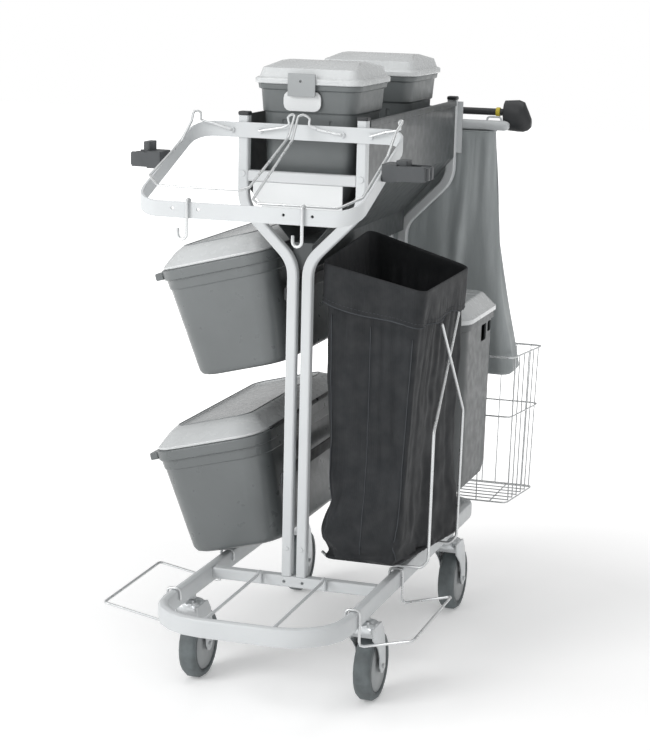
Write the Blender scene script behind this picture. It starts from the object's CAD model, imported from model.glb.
"""A service cart with a laundry bag, a rear waste sack, storage boxes, buckets and a handle.

The cart stands on the floor at z = 0. Its front faces -Y, its right side +X, and Z is up.
The CAD pieces get materials and softened edges; the bag and the sack are rebuilt as cloth.
Lengths are metres, except in the level tables, which are in millimetres.
"""
import bpy
import bmesh
import math
from fnmatch import fnmatchcase
from mathutils import Vector, Matrix, noise

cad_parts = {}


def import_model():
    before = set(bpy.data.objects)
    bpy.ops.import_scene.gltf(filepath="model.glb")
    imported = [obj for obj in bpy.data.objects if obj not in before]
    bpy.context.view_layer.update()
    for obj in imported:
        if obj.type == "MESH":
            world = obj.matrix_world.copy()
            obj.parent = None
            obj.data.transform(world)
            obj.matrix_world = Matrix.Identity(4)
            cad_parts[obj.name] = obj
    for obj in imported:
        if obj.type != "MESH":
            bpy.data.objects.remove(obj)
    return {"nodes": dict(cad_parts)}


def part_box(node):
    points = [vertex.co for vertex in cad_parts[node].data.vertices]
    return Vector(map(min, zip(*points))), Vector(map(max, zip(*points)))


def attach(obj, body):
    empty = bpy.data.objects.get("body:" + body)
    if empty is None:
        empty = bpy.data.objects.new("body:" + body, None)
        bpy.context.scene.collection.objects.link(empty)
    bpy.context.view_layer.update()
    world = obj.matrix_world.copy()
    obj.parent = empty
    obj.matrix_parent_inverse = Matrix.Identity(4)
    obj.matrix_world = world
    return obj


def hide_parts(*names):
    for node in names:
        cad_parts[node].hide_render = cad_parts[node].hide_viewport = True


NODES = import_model()["nodes"]
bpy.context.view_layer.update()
SCENE = bpy.context.scene
MM = 0.001


# ------------------------------------------------------------------ materials
class Shader:
    """One material's node tree; every pattern uses object coordinates in metres."""

    def __init__(self, name):
        self.material = bpy.data.materials.new(name)
        self.material.use_nodes = True
        self.tree = self.material.node_tree
        self.surface = self.tree.nodes["Principled BSDF"]
        self.place = self.node("TexCoord", {}).outputs["Object"]

    def feed(self, socket, value):
        """Link a socket to another node's output, or set it to a plain value."""
        if isinstance(value, bpy.types.NodeSocket):
            self.tree.links.new(value, socket)
        elif socket.type == "RGBA":
            socket.default_value = (*value, 1.0)
        else:
            socket.default_value = value

    def node(self, kind, inputs, **settings):
        node = self.tree.nodes.new("ShaderNode" + kind)
        for key, value in settings.items():
            setattr(node, key, value)
        for key, value in inputs.items():
            self.feed(node.inputs[key], value)
        return node

    def put(self, key, value):
        self.feed(self.surface.inputs[key], value)

    def mapped(self, scale=(1, 1, 1), turn=(0, 0, 0)):
        inputs = {"Scale": scale, "Rotation": turn, "Vector": self.place}
        return self.node("Mapping", inputs).outputs["Vector"]

    def noise(self, scale, detail=3.0, rough=0.5, place=None):
        inputs = {"Scale": scale, "Detail": detail, "Roughness": rough,
                  "Vector": place or self.place}
        return self.node("TexNoise", inputs).outputs["Fac"]

    def wave(self, scale, direction, distortion, place=None):
        inputs = {"Scale": scale, "Distortion": distortion, "Vector": place or self.place}
        return self.node("TexWave", inputs, bands_direction=direction).outputs["Fac"]

    def remap(self, value, to, span=(0.3, 0.7)):
        """Map the span of the value onto the range `to`, clamped at both ends."""
        inputs = {"From Min": span[0], "From Max": span[1], "To Min": to[0], "To Max": to[1],
                  "Value": value}
        return self.node("MapRange", inputs).outputs["Result"]

    def mix(self, amount, a, b):
        # Sockets 0, 6 and 7 are the factor and the two colours.
        return self.node("Mix", {0: amount, 6: a, 7: b}, data_type="RGBA").outputs[2]

    def bump(self, height, strength, depth, under=None):
        inputs = {"Strength": strength, "Distance": depth, "Height": height}
        if under is not None:
            inputs["Normal"] = under
        return self.node("Bump", inputs).outputs["Normal"]


def shade(rgb, factor):
    return tuple(min(1.0, c * factor) for c in rgb)


def moulded(name, rgb, rough=0.45, cloud=0.08, grain=1400.0, relief=0.25, depth=0.00015,
            metal=0.0, alpha=1.0, coat=0.0, scuff=0.0, streak=0.0, swell=0.12):
    """Moulded plastic, paint or plate.

    cloud: tone variation; grain: scale of the fine grain, with relief and depth as its bump;
    scuff and streak: strength of dark marks and lines; swell: strength of the broad bump.
    """
    g = Shader(name)
    tone = g.remap(g.noise(scale=9.0, detail=4.0), to=(0.0, 1.0))
    colour = g.mix(tone, shade(rgb, 1.0 - cloud), shade(rgb, 1.0 + cloud))
    fine = g.noise(scale=grain, detail=2.0)
    colour = g.mix(g.remap(fine, to=(0.0, 0.10), span=(0.35, 0.65)), colour, shade(rgb, 0.72))
    if streak:
        lines = g.noise(scale=1.0, rough=0.6, place=g.mapped(scale=(900, 900, 12)))
        lines = g.remap(lines, to=(0.0, streak), span=(0.45, 0.7))
        colour = g.mix(lines, colour, shade(rgb, 0.62))
    if scuff:
        place = g.mapped(scale=(60, 60, 220), turn=(0.3, 0.2, 0.4))
        marks = g.noise(scale=1.0, detail=5.0, rough=0.7, place=place)
        marks = g.remap(marks, to=(0.0, scuff), span=(0.66, 0.74))
        colour = g.mix(marks, colour, shade(rgb, 0.55))
    g.put("Base Color", colour)
    gloss_range = (max(0.05, rough - 0.07), min(1.0, rough + 0.09))
    g.put("Roughness", g.remap(g.noise(scale=55.0, detail=4.0), to=gloss_range))
    g.put("Metallic", metal)
    if alpha < 1.0:
        alpha_range = (alpha - 0.012, min(1.0, alpha + 0.012))
        g.put("Alpha", g.remap(g.noise(scale=14.0, detail=2.0), to=alpha_range))
    if coat:
        g.put("Coat Weight", coat)
        g.put("Coat Roughness", 0.12)
    normal = g.bump(fine, strength=relief, depth=depth)
    if swell:
        normal = g.bump(g.noise(scale=70.0), strength=swell, depth=0.0006, under=normal)
    g.put("Normal", normal)
    return g.material


def cloth_material():
    """Charcoal oxford: crossing threads, slubs and a soft sheen."""
    g = Shader("bag_oxford")
    diagonal = g.mapped(turn=(0, 0, math.radians(45)))
    warp = g.wave(scale=150.0, direction="X", distortion=0.4, place=diagonal)
    weft = g.wave(scale=150.0, direction="Z", distortion=0.4)
    weave = g.node("Math", {0: warp, 1: weft}, operation="MULTIPLY").outputs[0]
    base = (0.0115, 0.0130, 0.0150)
    tone = g.remap(g.noise(scale=7.0, detail=5.0), to=(0.0, 1.0))
    colour = g.mix(tone, shade(base, 0.78), shade(base, 1.30))
    threads = g.remap(weave, to=(0.0, 0.45), span=(0.0, 1.0))
    colour = g.mix(threads, colour, shade(base, 1.9))
    slub = g.noise(scale=1.0, detail=2.0, place=g.mapped(scale=(700, 700, 40)))
    slub = g.remap(slub, to=(0.0, 0.35), span=(0.62, 0.75))
    g.put("Base Color", g.mix(slub, colour, shade(base, 2.2)))
    g.put("Roughness", g.remap(g.noise(scale=40.0), to=(0.72, 0.92)))
    g.put("Sheen Weight", 0.05)
    g.put("Sheen Roughness", 0.5)
    normal = g.bump(weave, strength=0.35, depth=0.0003)
    creases = g.noise(scale=42.0, detail=5.0)
    g.put("Normal", g.bump(creases, strength=0.35, depth=0.0022, under=normal))
    return g.material


def film_material():
    """Grey sack film: slightly see-through, crinkled, darker towards +X."""
    g = Shader("sack_film")
    x = g.node("SeparateXYZ", {0: g.place}).outputs[0]
    across = g.remap(x, to=(0.0, 1.0), span=(0.02, 0.23))
    colour = g.mix(across, (0.34, 0.368, 0.373), (0.27, 0.292, 0.297))
    crinkle = g.noise(scale=1.0, detail=5.0, rough=0.65, place=g.mapped(scale=(55, 55, 9)))
    pale = g.remap(crinkle, to=(0.0, 0.35), span=(0.35, 0.7))
    g.put("Base Color", g.mix(pale, colour, (0.42, 0.45, 0.455)))
    g.put("Roughness", g.remap(g.noise(scale=30.0, detail=4.0), to=(0.36, 0.55)))
    g.put("Alpha", g.remap(g.noise(scale=11.0, detail=2.0), to=(0.93, 0.99)))
    normal = g.bump(crinkle, strength=0.5, depth=0.002)
    g.put("Normal", g.bump(g.noise(scale=160.0), strength=0.2, depth=0.0004, under=normal))
    return g.material


def tyre_material():
    """Dusty grey rubber."""
    g = Shader("tyre_rubber")
    base = (0.112, 0.128, 0.132)
    dust = g.noise(scale=45.0, detail=5.0)
    tone = g.remap(dust, to=(0.0, 1.0), span=(0.35, 0.7))
    g.put("Base Color", g.mix(tone, shade(base, 0.85), shade(base, 1.35)))
    g.put("Roughness", g.remap(dust, to=(0.55, 0.8)))
    g.put("Normal", g.bump(g.noise(scale=1100.0), strength=0.35, depth=0.0002))
    return g.material


# Surface settings shared by several materials.
COATED = dict(grain=1700.0, relief=0.18, depth=0.00012)
GLASSY = dict(grain=1200.0, relief=0.10, depth=0.00006, swell=0.0)

MATERIALS = {
    "paint": moulded("frame_powder_coat", (0.57, 0.59, 0.60), rough=0.40, cloud=0.035,
                     scuff=0.12, **COATED),
    "white": moulded("crossbar_powder_coat", (0.54, 0.555, 0.565), rough=0.42, cloud=0.03,
                     scuff=0.08, **COATED),
    "zinc": moulded("zinc_plated_steel", (0.60, 0.62, 0.63), rough=0.34, cloud=0.10,
                    grain=800.0, relief=0.15, depth=0.0001, metal=0.75, streak=0.25),
    "wire": moulded("zinc_wire", (0.66, 0.675, 0.68), rough=0.30, cloud=0.08,
                    grain=900.0, relief=0.12, depth=0.0001, metal=0.6, streak=0.15),
    "tyre": tyre_material(),
    "hub": moulded("wheel_hub_plastic", (0.34, 0.355, 0.36), rough=0.48, cloud=0.06,
                   scuff=0.25),
    "black": moulded("black_plastic", (0.022, 0.024, 0.026), rough=0.46, cloud=0.15,
                     grain=1300.0, relief=0.3),
    "clip": moulded("clip_plastic", (0.055, 0.06, 0.064), rough=0.5, cloud=0.12,
                    grain=1300.0, relief=0.35),
    "box": moulded("grey_box_plastic", (0.128, 0.139, 0.141), rough=0.33, cloud=0.06,
                   grain=1300.0, scuff=0.10, coat=0.15, swell=0.05),
    "bucket": moulded("grey_bucket_plastic", (0.122, 0.134, 0.136), rough=0.38, cloud=0.06,
                      grain=1300.0, relief=0.3, depth=0.0002, scuff=0.08),
    "bin": moulded("grey_bin_plastic", (0.078, 0.085, 0.087), cloud=0.07,
                   grain=1300.0, relief=0.3, depth=0.0002, scuff=0.08),
    "lid": moulded("frosted_lid", (0.66, 0.68, 0.685), rough=0.24, cloud=0.05,
                   alpha=0.82, coat=0.4, **GLASSY),
    "latch": moulded("white_plastic", (0.64, 0.655, 0.66), rough=0.40, cloud=0.03,
                     grain=1500.0, relief=0.18),
    "tray": moulded("smoked_tray", (0.060, 0.067, 0.069), rough=0.38, cloud=0.06,
                    alpha=0.93, coat=0.15, **GLASSY),
    "catch": moulded("grey_latch_plastic", (0.30, 0.315, 0.32), rough=0.40, cloud=0.05,
                     grain=1500.0, relief=0.2),
    "lid_edge": moulded("lid_moulding_line", (0.24, 0.255, 0.26), rough=0.3, cloud=0.06,
                        grain=1200.0, relief=0.1, coat=0.3, swell=0.0),
    "tube": moulded("light_tube", (0.50, 0.52, 0.53), rough=0.36, cloud=0.05,
                    grain=1500.0, relief=0.15),
    "yellow": moulded("yellow_ring_plastic", (0.62, 0.50, 0.04), cloud=0.06),
    "dark": moulded("hole_shadow", (0.03, 0.033, 0.035), rough=0.7, cloud=0.1),
    "cloth": cloth_material(),
    "film": film_material(),
    "thread": moulded("seam_thread", (0.045, 0.05, 0.056), rough=0.85, cloud=0.15,
                      grain=2500.0, relief=0.5, depth=0.0002),
}


# ------------------------------------------------------------------ CAD pieces
# Name pattern and material kind; the first match wins.
KINDS = [
    ("caster_tyre*", "tyre"), ("caster_hub*", "hub"), ("caster_fork*", "zinc"),
    ("post_cap*", "black"), ("upper_crossbar*", "white"), ("*_latch", "catch"),
    ("tray_end_panel", "latch"), ("*_shield", "latch"), ("box_hanger*", "black"),
    ("*_lid", "lid"), ("box_*", "box"), ("bucket_*", "bucket"), ("tall_bin_body", "bin"),
    ("tray", "tray"), ("bag_stand", "wire"), ("wire_basket", "wire"), ("clamp_wire*", "wire"),
    ("ring_hook*", "wire"), ("side_loop*", "wire"), ("tool_clip*", "clip"),
    ("handle*", "black"), ("rear_sack_tube", "tube"), ("laundry_bag", "cloth"),
    ("rear_sack", "film"), ("*", "paint"),
]
# Edge rounding for each kind that has it.
EDGE_WIDTHS = {"catch": 0.0006, "box": 0.0009, "bucket": 0.0008, "bin": 0.0009,
               "latch": 0.0006, "clip": 0.0008, "black": 0.0006, "paint": 0.0006,
               "white": 0.0006, "lid": 0.0006, "tray": 0.0004}


def round_edges(piece, width, degrees):
    """Bevel the edges sharper than the given angle."""
    bevel = piece.modifiers.new("edge", "BEVEL")
    bevel.width = width
    bevel.segments = 2
    bevel.limit_method = "ANGLE"
    bevel.angle_limit = math.radians(degrees)
    return bevel


def dress(name, piece):
    """Give a CAD piece its material, smooth shading and softened edges."""
    kind = next(kind for pattern, kind in KINDS if fnmatchcase(name, pattern))
    mesh = piece.data
    mesh.materials.clear()
    mesh.materials.append(MATERIALS[kind])
    for polygon in mesh.polygons:
        polygon.use_smooth = True
        polygon.material_index = 0
    if "custom_normal" in mesh.attributes:
        mesh.attributes.remove(mesh.attributes["custom_normal"])
    weld = piece.modifiers.new("weld", "WELD")
    weld.merge_threshold = 0.00001
    if kind in EDGE_WIDTHS:
        bevel = round_edges(piece, EDGE_WIDTHS[kind], degrees=38)
        bevel.miter_outer = "MITER_ARC"
    normals = piece.modifiers.new("normals", "WEIGHTED_NORMAL")
    normals.mode = "FACE_AREA"
    normals.weight = 60
    normals.keep_sharp = True


for node_name, node_piece in NODES.items():
    dress(node_name, node_piece)


# ------------------------------------------------------------------ mesh helpers
def new_mesh(name, points, faces, kind, body):
    """A smooth piece that rides on a body of the cart."""
    mesh = bpy.data.meshes.new(name)
    mesh.from_pydata([tuple(p) for p in points], [], faces)
    mesh.update()
    bm = bmesh.new()
    bm.from_mesh(mesh)
    bmesh.ops.recalc_face_normals(bm, faces=bm.faces)
    bm.to_mesh(mesh)
    bm.free()
    piece = bpy.data.objects.new(name, mesh)
    SCENE.collection.objects.link(piece)
    mesh.materials.append(MATERIALS[kind])
    for polygon in mesh.polygons:
        polygon.use_smooth = True
    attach(piece, body)
    return piece


def ring_faces(rows, sides, base=0, closed=False, start_cap=True):
    """Quads between rings of points; closed joins the last ring to the first, uncapped."""
    faces = []
    for row in range(rows if closed else rows - 1):
        this = base + row * sides
        after = base + (row + 1) % rows * sides
        for k in range(sides):
            beside = (k + 1) % sides
            faces.append((this + k, this + beside, after + beside, after + k))
    if not closed:
        if start_cap:
            faces.append(tuple(base + k for k in range(sides)))
        faces.append(tuple(base + (rows - 1) * sides + k for k in range(sides)))
    return faces


def circle(centre, across, upward, radius, sides):
    angles = [2 * math.pi * k / sides for k in range(sides)]
    return [centre + across * (radius * math.cos(a)) + upward * (radius * math.sin(a))
            for a in angles]


def cross_axes(axis):
    """Two directions square to an axis and to each other."""
    across = axis.orthogonal().normalized()
    return across, axis.cross(across)


def rope(name, path, radius, kind, body, sides, closed=False):
    """A round cord swept along a path, its frame carried from point to point."""
    path = [Vector(p) for p in path]
    count = len(path)
    points = []
    side = None
    for i, p in enumerate(path):
        before = path[(i - 1) % count] if closed or i else path[0]
        after = path[(i + 1) % count] if closed or i < count - 1 else path[-1]
        along = (after - before).normalized()
        if side is None:
            side = along.orthogonal().normalized()
        side = (side - along * side.dot(along)).normalized()
        points += circle(p, side, along.cross(side), radius, sides)
    faces = ring_faces(count, sides, closed=closed)
    return new_mesh(name, points, faces, kind, body)


def point_along(path, distance):
    for start, end in zip(path, path[1:]):
        length = (end - start).length
        if distance <= length:
            return start.lerp(end, distance / length)
        distance -= length
    return path[-1]


def stitches(name, path, radius, length, gap, kind, body):
    """A row of raised stitches along a path, as one piece."""
    # Place along the stitch, share of the full radius.
    shape = ((0.0, 0.35), (0.25, 1.0), (0.75, 1.0), (1.0, 0.35))
    sides = 6
    total = sum((end - start).length for start, end in zip(path, path[1:]))
    points, faces = [], []
    run = 0.0
    while run + length < total:
        start, end = point_along(path, run), point_along(path, run + length)
        across, upward = cross_axes((end - start).normalized())
        faces += ring_faces(len(shape), sides, base=len(points))
        for place, share in shape:
            points += circle(start.lerp(end, place), across, upward, radius * share, sides)
        run += length + gap
    return new_mesh(name, points, faces, kind, body)


def rounded(width, depth, radius, x_steps, y_steps, corner_steps):
    """Rounded rectangle, counter-clockwise from the front right corner.

    The point count depends only on the steps, never on the size.
    """
    x, y = width / 2 - radius, depth / 2 - radius
    # Corner centre and the angle where its arc starts.
    corners = [(x, -y, -90), (x, y, 0), (-x, y, 90), (-x, -y, 180)]

    def on_arc(k, turn):
        corner_x, corner_y, first = corners[k % 4]
        angle = math.radians(first + turn)
        return corner_x + radius * math.cos(angle), corner_y + radius * math.sin(angle)

    outline = []
    for k in range(4):
        outline += [on_arc(k, 90.0 * j / corner_steps) for j in range(corner_steps + 1)]
        start, end = outline[-1], on_arc(k + 1, 0)
        steps = y_steps if k % 2 == 0 else x_steps
        for j in range(1, steps):
            outline.append(tuple(a + (b - a) * j / steps for a, b in zip(start, end)))
    return outline


# ------------------------------------------------------------------ soft goods helpers
def ringed_mesh(name, levels, section, kind):
    """Skin the sections between levels; returns the piece, its rows and points per row.

    Each level is a row count up to the next level, then the section's values.
    """
    rings = []
    for (steps, *here), (_, *there) in zip(levels, levels[1:]):
        for j in range(steps):
            t = j / steps
            rings.append(section(*(a + (b - a) * t for a, b in zip(here, there))))
    rings.append(section(*levels[-1][1:]))
    rows, around = len(rings), len(rings[0])
    points = [p for ring in rings for p in ring]
    faces = ring_faces(rows, around, start_cap=False)
    return new_mesh(name, points, faces, kind, "cart"), rows, around


def settle(piece, pins, frames, pressure, grow, cap, gravity, limit):
    """Cloth simulation written into the mesh.

    pins: pin weight by vertex; grow: growth of the fabric; cap: length at which movement
    saturates; limit: keeps a moved point in bounds, given its rest place too.
    """
    rest = [v.co.copy() for v in piece.data.vertices]
    moved = rest
    group = piece.vertex_groups.new(name="pin")
    for i, weight in pins.items():
        group.add([i], weight, "REPLACE")
    cloth = piece.modifiers.new("sim", "CLOTH")
    settings = cloth.settings
    settings.quality = 6
    settings.mass = 0.25
    settings.tension_stiffness = 18
    settings.compression_stiffness = 18
    settings.shear_stiffness = 4
    settings.bending_stiffness = 0.6
    settings.vertex_group_mass = "pin"
    settings.shrink_min = -grow
    settings.use_pressure = True
    settings.uniform_pressure_force = pressure
    settings.effector_weights.gravity = gravity
    cloth.collision_settings.use_collision = False
    cloth.point_cache.frame_start = 1
    cloth.point_cache.frame_end = frames
    for frame in range(1, frames + 1):
        SCENE.frame_set(frame)
    result = piece.evaluated_get(bpy.context.evaluated_depsgraph_get())
    moved = [v.co.copy() for v in result.data.vertices]
    piece.modifiers.remove(cloth)
    piece.vertex_groups.remove(group)
    SCENE.frame_set(1)
    for vertex, start, end in zip(piece.data.vertices, rest, moved):
        shift = end - start
        if shift.length > 1e-9:
            shift = shift.normalized() * (cap * math.tanh(shift.length / cap))
        vertex.co = limit(start + shift, start)
    piece.data.update()


def thicken(piece, name, thickness):
    """Give the sheet a thickness and round it; returns its points before both."""
    solid = piece.modifiers.new(name, "SOLIDIFY")
    solid.thickness = thickness
    solid.offset = 0.0
    smooth = piece.modifiers.new("round", "SUBSURF")
    smooth.levels = 1
    smooth.render_levels = 1
    return [v.co.copy() for v in piece.data.vertices]


def wrinkle(p, height, across, along, seed):
    """Repeatable fold height at a point; across and along scale it sideways and in z."""
    at = Vector((p.x * across + seed, p.y * across - seed, p.z * along))
    return height * noise.noise(at)


def clamp(value, low, high):
    return min(max(value, low), high)


# ------------------------------------------------------------------ laundry bag
BAG_CENTRE = Vector((0.13, 0.16))
BAG_X_STEPS = 30
RIM_HEIGHTS = (751.0, 711.0, 718.0, 774.0)  # front left, front right, back right, back left


def below_rim(distance):
    return tuple(height - distance for height in RIM_HEIGHTS)


def flat(z):
    return (z, z, z, z)


# Rows to the next level; x of left side, of right side at front and at back; y of front and
# back; four corner heights in rim order; corner radius. From the cuff hem up the outside,
# over the rim, down the wall and across the bottom. Millimetres.
BAG_LEVELS = [
    (9, 36.0, 214.0, 223.0, 18.6, 299.0, *below_rim(68.0), 20.0),
    (2, 33.4, 219.6, 226.4, 18.4, 299.6, *below_rim(3.0), 18.0),
    (2, 34.6, 218.4, 225.4, 19.6, 298.4, *below_rim(0.4), 17.0),
    (9, 37.4, 215.6, 222.6, 22.0, 295.6, *below_rim(4.0), 15.0),
    (18, 41.5, 204.5, 216.5, 22.0, 295.0, *below_rim(74.0), 17.0),
    (22, 41.5, 195.5, 221.5, 21.5, 298.5, *flat(450.0), 19.0),
    (3, 41.5, 185.5, 226.0, 21.5, 298.5, *flat(230.0), 20.0),
    (3, 47.0, 180.5, 221.0, 29.0, 291.0, *flat(221.5), 18.0),
    (6, 57.0, 171.0, 207.0, 41.0, 281.0, *flat(219.3), 14.0),
    (0, 112.0, 122.0, 128.0, 150.0, 172.0, *flat(219.3), 4.0),
]
# First row of the rim's outside, of the wall inside it, below the cuff, and at the wall foot.
CUFF_TOP, WALL_TOP, CUFF_END, WALL_FOOT = (
    sum(level[0] for level in BAG_LEVELS[:n]) for n in (1, 3, 4, 6))


def bag_section(left, right_front, right_back, front, back,
                z_front_left, z_front_right, z_back_right, z_back_left, radius):
    """A rounded rectangle of nominal width, stretched onto the four corners."""
    width, depth = 180.0, back - front
    ring = []
    for a, b in rounded(width, depth, radius, BAG_X_STEPS, y_steps=40, corner_steps=5):
        p, q = a / width + 0.5, b / depth + 0.5
        x = left * (1 - p) + (right_front * (1 - q) + right_back * q) * p
        z = ((z_front_left * (1 - p) + z_front_right * p) * (1 - q)
             + (z_back_left * (1 - p) + z_back_right * p) * q)
        ring.append(Vector((x, front + depth * q, z)) * MM)
    return ring


def bag_outward(p):
    return Vector((p.x - BAG_CENTRE.x, p.y - BAG_CENTRE.y, 0)).normalized()


def fold_wall(p, out):
    """Deep folds below the cuff, a slumped foot and a bulge low on the left."""
    fade = max(0.0, min(1.0, (0.66 - p.z) / 0.08))
    fold = (wrinkle(p, height=0.0140, across=13.0, along=3.4, seed=3.1)
            + wrinkle(p, height=0.0055, across=36.0, along=10.0, seed=7.7)
            + wrinkle(p, height=0.0060, across=9.0, along=24.0, seed=1.3))
    low = max(0.0, 1.0 - (p.z - 0.225) / 0.11)
    fold += (0.006 * low * math.sin(p.x * 74.0 + p.y * 61.0 + 1.1)
             + 0.005 * math.sin(math.pi * low))
    moved = p + out * (fold * fade - 0.0025)
    near_left = max(0.0, 1.0 - (moved.x - 0.040) / 0.05)
    moved.x -= 0.011 * (near_left * max(0.0, 1.0 - abs(moved.z - 0.285) / 0.055))
    return moved


def fold_cuff(p, out, row):
    """Loose waves that fade from the hem up to the rim."""
    loose = 1.0 - row / CUFF_TOP
    wave = wrinkle(p, height=0.0075, across=21.0, along=3.0, seed=5.5)
    moved = p + out * (wave * loose + 0.0008 * loose)
    moved.z += wrinkle(moved, height=0.010, across=13.0, along=1.0, seed=9.1) * loose
    return moved


def bag_limit(p, rest):
    """Keep the cloth inside the space around the bag."""
    x = clamp(p.x, 0.0305, 0.2262 if p.y < 0.228 else 0.2305)
    if rest.z < 0.236:
        x = max(x, 0.0415)
    return Vector((x, clamp(p.y, 0.0181, 0.3080), max(p.z, 0.2180)))


def laundry_bag():
    bag, _, around = ringed_mesh("laundry_bag_cloth", BAG_LEVELS, bag_section, "cloth")
    pins = {}
    for i, vertex in enumerate(bag.data.vertices):
        row = i // around
        p = vertex.co
        out = bag_outward(p)
        if row > CUFF_END and p.z > 0.225:
            vertex.co = fold_wall(p, out)
        elif row < CUFF_TOP:
            vertex.co = fold_cuff(p, out, row)
        elif WALL_TOP <= row <= CUFF_END:
            tuck = abs(wrinkle(p, height=0.006, across=22.0, along=5.0, seed=2.2))
            vertex.co = p - out * tuck * ((row - WALL_TOP) / (CUFF_END - WALL_TOP))
        # The hem hangs loosely, the rim is held and the bottom is mostly held.
        if row < 5:
            pins[i] = 0.25 + 0.15 * row
        elif row <= WALL_TOP + 4:
            pins[i] = 1.0
        elif row > WALL_FOOT:
            pins[i] = 0.7
    settle(bag, pins, frames=24, pressure=2.6, grow=0.035, cap=0.013, gravity=0.5,
           limit=bag_limit)
    points = thicken(bag, "cloth_thickness", 0.0012)
    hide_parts("laundry_bag")

    def on_cloth(row, column):
        p = points[row * around + column % around]
        return p + bag_outward(p) * 0.0009

    # Place, column of the section and cord radius.
    seams = (("front_right", 2, 0.0010), ("back_right", 48, 0.0010),
             ("back_left", 83, 0.0010), ("front_left", 129, 0.0010),
             ("front_mid", around - BAG_X_STEPS // 2, 0.0009))
    for place, column, radius in seams:
        line = [on_cloth(row, column) for row in range(CUFF_END + 1, WALL_FOOT)]
        rope("bag_seam_%s" % place, line, radius, "thread", "cart", sides=6)
    hem = [on_cloth(1, column) for column in range(around + 1)]
    stitches("bag_hem_stitches", hem, radius=0.00055, length=0.0045, gap=0.0025,
             kind="thread", body="cart")
    rope("bag_hem_binding", points[:around], 0.0013, "thread", "cart", sides=6, closed=True)


laundry_bag()


# ------------------------------------------------------------------ rear sack
# Rows to the next level; z; x of left and right; y of front and back; corner radius.
# From the rim down and across the bottom. Millimetres.
SACK_LEVELS = [
    (6, 936.0, -41.5, 185.5, 608.6, 647.4, 15.0),
    (9, 905.0, -41.5, 188.5, 608.6, 649.4, 15.0),
    (8, 838.0, -39.5, 189.5, 610.6, 661.4, 19.0),
    (7, 782.0, -37.5, 190.5, 612.6, 674.4, 23.0),
    (9, 737.0, -29.5, 196.5, 614.6, 684.4, 25.0),
    (11, 672.0, -9.5, 205.5, 616.6, 694.4, 25.0),
    (9, 595.0, 20.5, 218.5, 620.6, 704.4, 25.0),
    (10, 532.0, 45.5, 229.5, 625.6, 714.4, 25.0),
    (3, 464.0, 62.5, 238.5, 634.6, 721.4, 21.0),
    (5, 453.5, 71.0, 231.0, 641.0, 715.0, 17.0),
    (0, 453.5, 140.0, 160.0, 674.0, 684.0, 3.0),
]
SACK_TOP = SACK_LEVELS[0][1] * MM


def sack_section(z, left, right, front, back, radius):
    outline = rounded(right - left, back - front, radius, x_steps=44, y_steps=16,
                      corner_steps=5)
    return [Vector(((left + right) / 2 + a, (front + back) / 2 + b, z)) * MM
            for a, b in outline]


def fold_film(p):
    """Gathers below the rim that fade downwards, with broad and fine wrinkles."""
    below = SACK_TOP - p.z
    out = Vector(((p.x - 0.09) * 0.35, p.y - (0.628 + below * 0.11), 0)).normalized()
    free = min(1.0, below / 0.05)
    gather = (0.0028 * math.sin(p.x * 2 * math.pi / 0.031 + 5.0 * p.z)
              * max(0.0, 1.0 - below / 0.16) * free)
    broad = wrinkle(p, height=0.0075, across=17.0, along=2.6, seed=4.4) * free
    fine = wrinkle(p, height=0.0025, across=48.0, along=8.0, seed=8.8) * free
    return p + out * (gather + broad + fine - 0.001)


def sack_limit(p, _):
    """Keep the film inside the space around the sack."""
    return Vector((clamp(p.x, -0.045, 0.2405), clamp(p.y, 0.6068, 0.7330),
                   max(p.z, 0.4520)))


def rear_sack():
    sack, rows, around = ringed_mesh("rear_sack_film", SACK_LEVELS, sack_section, "film")
    bottom_rows, held_rows = 8, 3
    for vertex in sack.data.vertices[:(rows - bottom_rows) * around]:
        vertex.co = fold_film(vertex.co)
    pins = {i: 1.0 for i in range(held_rows * around)}
    settle(sack, pins, frames=20, pressure=1.2, grow=0.02, cap=0.008, gravity=0.4,
           limit=sack_limit)
    points = thicken(sack, "film_thickness", 0.0009)
    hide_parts("rear_sack")
    rope("rear_sack_rim", points[:around], 0.0016, "film", "cart", sides=6, closed=True)


rear_sack()

# ------------------------------------------------------------------ storage boxes
BOX_TILT = math.radians(14.4)
UPPER_X, UPPER_Z = -0.172, 0.736
BOX_ORIGINS = {"upper": (UPPER_X, UPPER_Z), "lower": (UPPER_X - 0.008, UPPER_Z - 0.3295)}
KNUCKLES = 5
KNUCKLE_INSET = 0.055  # from each end of the box
# Rib outline on the lid: along the tilt, square to it.
RIB_OUTLINE = ((-0.1055, 0.0062), (-0.0965, 0.0160), (-0.0870, 0.0262), (-0.0765, 0.0331))


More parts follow.
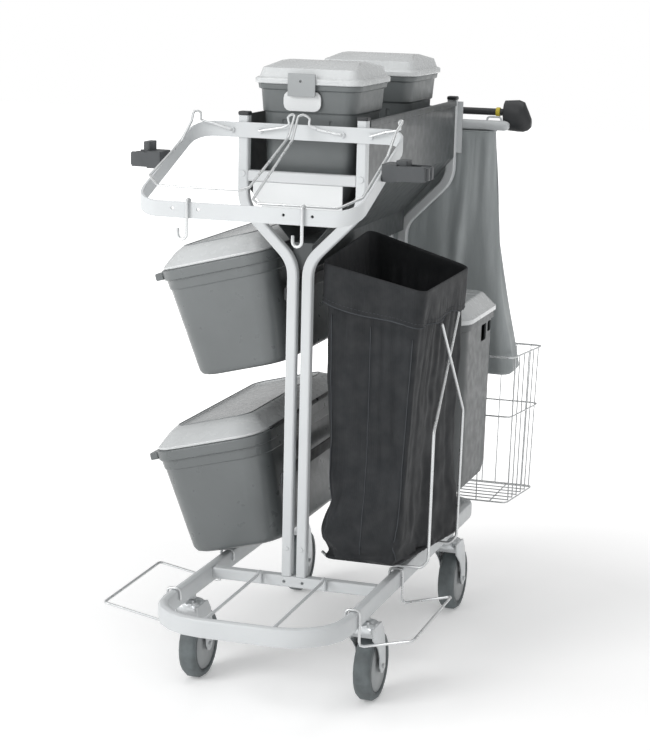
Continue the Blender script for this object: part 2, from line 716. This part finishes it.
def box_details(tag):
    """Knuckles along the right edge, ribs on the left of the lid, a raised loop on top."""
    origin_x, origin_z = BOX_ORIGINS[tag]
    body, lid = "box_%s" % tag, "box_%s_lid" % tag

    def on_box(along, y, above):
        """A point in the box's own tilted frame."""
        return (origin_x + along * math.cos(BOX_TILT) - above * math.sin(BOX_TILT), y,
                origin_z + along * math.sin(BOX_TILT) + above * math.cos(BOX_TILT))

    low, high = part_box("box_%s_body" % tag)
    length = high.y - low.y
    first = low.y + KNUCKLE_INSET
    pitch = (high.y - KNUCKLE_INSET - first) / KNUCKLES
    for i in range(KNUCKLES):
        start, end = first + i * pitch + 0.004, first + (i + 1) * pitch - 0.004
        path = [on_box(0.109, y, 0.002) for y in (start, start + 0.002, end - 0.002, end)]
        rope("box_%s_knuckle_%d" % (tag, i), path, 0.0030, "black",
             body if i % 2 == 0 else lid, sides=14)
    for i, share in enumerate((0.22, 0.5, 0.78)):
        path = [on_box(along, low.y + length * share, above) for along, above in RIB_OUTLINE]
        rope("box_%s_lid_rib_%d" % (tag, i), path, 0.0011, "lid_edge", lid, sides=8)
    outline = rounded(0.146, length - 0.112, 0.024, x_steps=10, y_steps=24, corner_steps=5)
    loop = [on_box(a, (low.y + high.y) / 2 + b, 0.0336) for a, b in outline]
    rope("box_%s_lid_window" % tag, loop, 0.0011, "lid_edge", lid, sides=8, closed=True)


for box_tag in BOX_ORIGINS:
    box_details(box_tag)


# ------------------------------------------------------------------ handle ring
def handle_ring():
    """A turned yellow ring near the right end of the handle rod."""
    # Distance along +X, radius.
    profile = [(0.0, 0.0070), (0.0, 0.0084), (0.0012, 0.0092),
               (0.0068, 0.0092), (0.0080, 0.0084), (0.0080, 0.0070)]
    sides = 36
    low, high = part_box("handle_rod")
    start = Vector((high.x - 0.014, (low.y + high.y) / 2, (low.z + high.z) / 2))
    axis = Vector((1, 0, 0))
    across, upward = cross_axes(axis)
    points = []
    for distance, radius in profile:
        points += circle(start + axis * distance, across, upward, radius, sides)
    faces = ring_faces(len(profile), sides)
    ring = new_mesh("handle_ring", points, faces, "yellow", "cart")
    round_edges(ring, 0.0003, degrees=35)


handle_ring()


# ------------------------------------------------------------------ floor, light, camera
def pale_floor():
    """A near-white floor that glows more strongly away from the origin."""
    half = 12
    mesh = bpy.data.meshes.new("floor")
    corners = [(-half, -half, 0), (half, -half, 0), (half, half, 0), (-half, half, 0)]
    mesh.from_pydata(corners, [], [(0, 1, 2, 3)])
    floor = bpy.data.objects.new("floor", mesh)
    SCENE.collection.objects.link(floor)
    g = Shader("pale_floor")
    tone = g.remap(g.noise(scale=2.0, detail=2.0), to=(0.0, 1.0))
    g.put("Base Color", g.mix(tone, (0.93, 0.93, 0.93), (0.95, 0.95, 0.95)))
    g.put("Roughness", 0.9)
    g.put("Specular IOR Level", 0.0)
    reach = g.node("VectorMath", {0: g.place}, operation="LENGTH").outputs["Value"]
    g.put("Emission Color", (1.0, 1.0, 1.0))
    g.put("Emission Strength", g.remap(reach, to=(0.22, 0.9), span=(0.9, 2.6)))
    mesh.materials.append(g.material)


def studio_world():
    """White surroundings, brighter to the camera than to the surfaces they light."""
    world = bpy.data.worlds.new("studio")
    SCENE.world = world
    world.use_nodes = True
    tree = world.node_tree
    background = tree.nodes["Background"]
    background.inputs[0].default_value = (1.0, 1.0, 1.0, 1.0)
    ray = tree.nodes.new("ShaderNodeLightPath")
    lift = tree.nodes.new("ShaderNodeMapRange")
    lift.inputs["To Min"].default_value = 0.52
    lift.inputs["To Max"].default_value = 1.0
    tree.links.new(ray.outputs["Is Camera Ray"], lift.inputs["Value"])
    tree.links.new(lift.outputs["Result"], background.inputs[1])


def area_light(name, place, target, size, watts):
    """A square area light aimed at a target."""
    light = bpy.data.lights.new(name, "AREA")
    light.shape = "RECTANGLE"
    light.size = size
    light.size_y = size
    light.energy = watts
    lamp = bpy.data.objects.new(name, light)
    SCENE.collection.objects.link(lamp)
    lamp.location = place
    aim = Vector(target) - Vector(place)
    lamp.rotation_euler = aim.to_track_quat("-Z", "Y").to_euler()


def camera():
    """A long lens from the front right, above the cart, looking left and down."""
    yaw, pitch, roll = (math.radians(a) for a in (17.99, 11.56, 1.30))
    forward = Vector((-math.sin(yaw) * math.cos(pitch), math.cos(yaw) * math.cos(pitch),
                      -math.sin(pitch)))
    level = Vector((math.cos(yaw), math.sin(yaw), 0))
    upright = level.cross(forward)
    right = math.cos(roll) * level + math.sin(roll) * upright
    up = -math.sin(roll) * level + math.cos(roll) * upright
    pose = Matrix((right, up, -forward)).transposed().to_4x4()
    pose.translation = (1.13835, -3.34920, 1.27779)
    cam = bpy.data.objects.new("camera", bpy.data.cameras.new("camera"))
    SCENE.collection.objects.link(cam)
    cam.matrix_world = pose
    cam.data.sensor_fit = "VERTICAL"
    cam.data.sensor_height = 36.0
    cam.data.lens = 100.13184
    cam.data.clip_end = 100.0
    SCENE.camera = cam


pale_floor()
studio_world()
area_light("key", place=(-2.4, -3.6, 2.6), target=(0.0, 0.1, 0.5), size=2.4, watts=122.0)
area_light("top", place=(0.0, 0.2, 3.4), target=(0.0, 0.2, 0.5), size=2.6, watts=26.0)
camera()
SCENE.view_settings.view_transform = "Standard"

bpy.context.view_layer.update()
